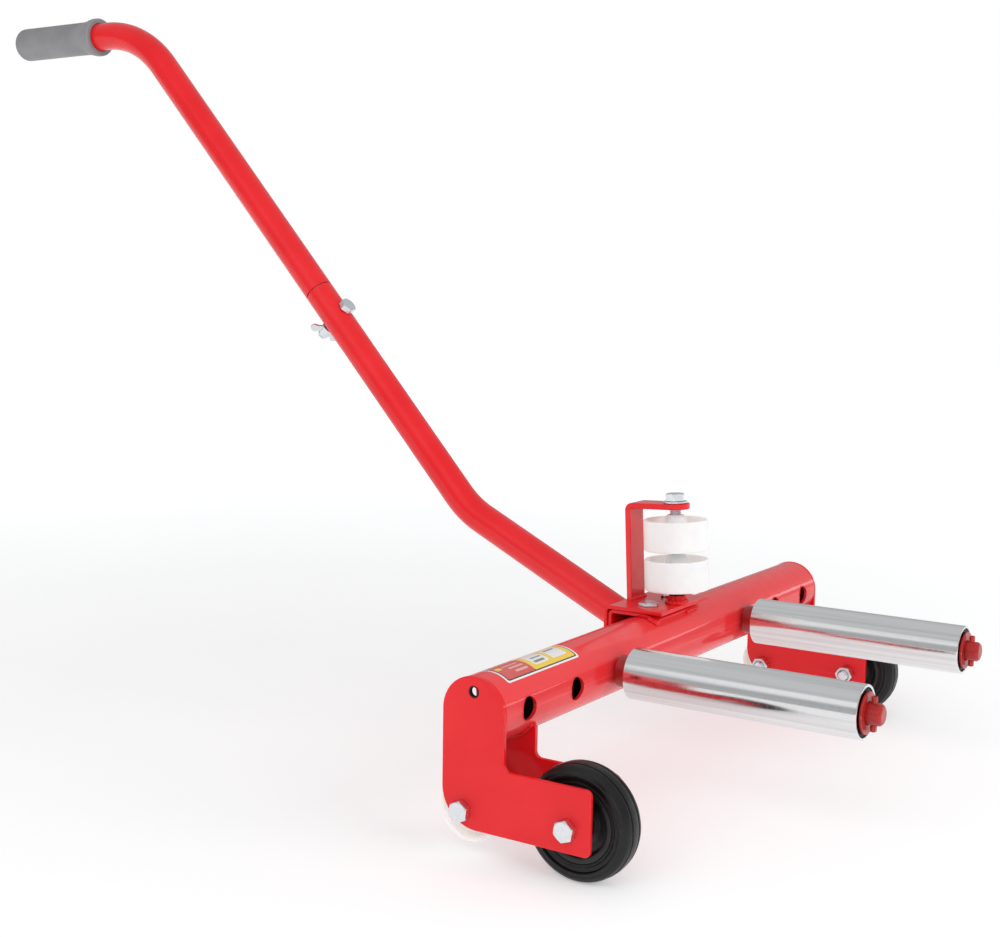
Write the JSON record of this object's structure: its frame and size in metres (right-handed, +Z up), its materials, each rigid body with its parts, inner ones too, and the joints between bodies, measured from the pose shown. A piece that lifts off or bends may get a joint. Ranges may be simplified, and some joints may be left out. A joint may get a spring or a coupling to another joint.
{
  "type": "wheel dolly",
  "caption": "Wheel dolly: a crossbeam on two wheeled forks with plug-in chromed rollers that cradle a vehicle wheel, a guide arm with nylon rollers, and a long bent handle.",
  "frame": {"origin": "on the floor, under the middle of the whole dolly's bounding box", "axes": "+Z up; +X along the crossbeam; -Y towards the chromed rollers, +Y towards the handle"},
  "size_m": [0.7176, 1.2746, 0.8393],
  "materials": {
    "red_paint": "gloss red enamel on welded steel",
    "chrome": "polished chrome plate",
    "zinc": "bright zinc plate",
    "steel": "bare oiled steel",
    "nylon": "milky white nylon",
    "tyre_rubber": "solid black rubber",
    "black_plastic": "moulded black plastic",
    "grip_rubber": "soft grey rubber"
  },
  "bodies": {
    "frame": {"crossbeam_tube": "red_paint", "fork_outer_plate_left": "red_paint", "fork_outer_plate_right": "red_paint", "fork_inner_plate_left": "red_paint", "fork_inner_plate_right": "red_paint", "wheel_bolt_left": "zinc", "wheel_bolt_right": "zinc", "wheel_sleeve_left": "steel", "wheel_sleeve_right": "steel", "wheel_nut_left": "zinc", "wheel_nut_right": "zinc", "rear_roller_bolt_left": "zinc", "rear_roller_bolt_right": "zinc", "rear_roller_sleeve_left": "steel", "rear_roller_sleeve_right": "steel", "rear_roller_nut_left": "zinc", "rear_roller_nut_right": "zinc", "saddle_bracket": "red_paint", "guide_base_plate": "red_paint", "bracket_bolt_left": "zinc", "bracket_bolt_right": "zinc", "bracket_nut_left": "zinc", "bracket_nut_right": "zinc", "guide_arm": "red_paint", "guide_base_nut": "red_paint", "guide_bolt": "zinc", "guide_washer": "zinc", "lower_handle_tube": "red_paint", "upper_handle_tube": "red_paint", "handle_spigot": "steel", "handle_grip": "grip_rubber", "handle_bolt": "zinc"},
    "wheel_left": {"tyre_left": "tyre_rubber", "wheel_rim_left": "black_plastic"},
    "wheel_right": {"tyre_right": "tyre_rubber", "wheel_rim_right": "black_plastic"},
    "rear_roller_left": {"rear_roller_left": "nylon"},
    "rear_roller_right": {"rear_roller_right": "nylon"},
    "guide_roller_lower": {"guide_roller_lower": "nylon"},
    "guide_roller_upper": {"guide_roller_upper": "nylon"},
    "axle_left": {"roller_axle_left": "red_paint", "roller_collar_left": "red_paint", "roller_washer_left": "red_paint", "roller_pin_left": "red_paint"},
    "axle_right": {"roller_axle_right": "red_paint", "roller_collar_right": "red_paint", "roller_washer_right": "red_paint", "roller_pin_right": "red_paint"},
    "chrome_roller_left": {"roller_tube_left": "chrome", "roller_front_bush_left": "black_plastic", "roller_back_bush_left": "black_plastic"},
    "chrome_roller_right": {"roller_tube_right": "chrome", "roller_front_bush_right": "black_plastic", "roller_back_bush_right": "black_plastic"},
    "wing_nut": {"wing_nut": "zinc"}
  },
  "joints": [
    {"name": "wheel_left_spin", "type": "hinge", "parent": "frame", "child": "wheel_left", "pos_m": [-0.32325, -0.44225, 0.0515], "axis": [1, 0, 0], "continuous": true},
    {"name": "wheel_right_spin", "type": "hinge", "parent": "frame", "child": "wheel_right", "pos_m": [0.32325, -0.44225, 0.0515], "axis": [1, 0, 0], "continuous": true},
    {"name": "rear_roller_left_spin", "type": "hinge", "parent": "frame", "child": "rear_roller_left", "pos_m": [-0.32325, -0.33575, 0.0465], "axis": [1, 0, 0], "continuous": true},
    {"name": "rear_roller_right_spin", "type": "hinge", "parent": "frame", "child": "rear_roller_right", "pos_m": [0.32325, -0.33575, 0.0465], "axis": [1, 0, 0], "continuous": true},
    {"name": "guide_roller_lower_spin", "type": "hinge", "parent": "frame", "child": "guide_roller_lower", "pos_m": [0, -0.36413, 0.17676], "axis": [0, 0.0523, 0.9986], "continuous": true},
    {"name": "guide_roller_upper_spin", "type": "hinge", "parent": "frame", "child": "guide_roller_upper", "pos_m": [0, -0.36413, 0.17676], "axis": [0, 0.0523, 0.9986], "continuous": true},
    {"name": "axle_left_pull_out", "type": "slide", "parent": "frame", "child": "axle_left", "axis": [0, -1, 0], "range_m": [0, 0.072]},
    {"name": "axle_right_pull_out", "type": "slide", "parent": "frame", "child": "axle_right", "axis": [0, -1, 0], "range_m": [0, 0.072]},
    {"name": "chrome_roller_left_spin", "type": "hinge", "parent": "axle_left", "child": "chrome_roller_left", "pos_m": [-0.145, -0.50775, 0.1355], "axis": [0, 1, 0], "continuous": true},
    {"name": "chrome_roller_right_spin", "type": "hinge", "parent": "axle_right", "child": "chrome_roller_right", "pos_m": [0.145, -0.50775, 0.1355], "axis": [0, 1, 0], "continuous": true},
    {"name": "wing_nut_turn", "type": "hinge", "parent": "frame", "child": "wing_nut", "pos_m": [0, 0.0931, 0.46145], "axis": [0, -0.7385, 0.6743], "continuous": true}
  ]
}
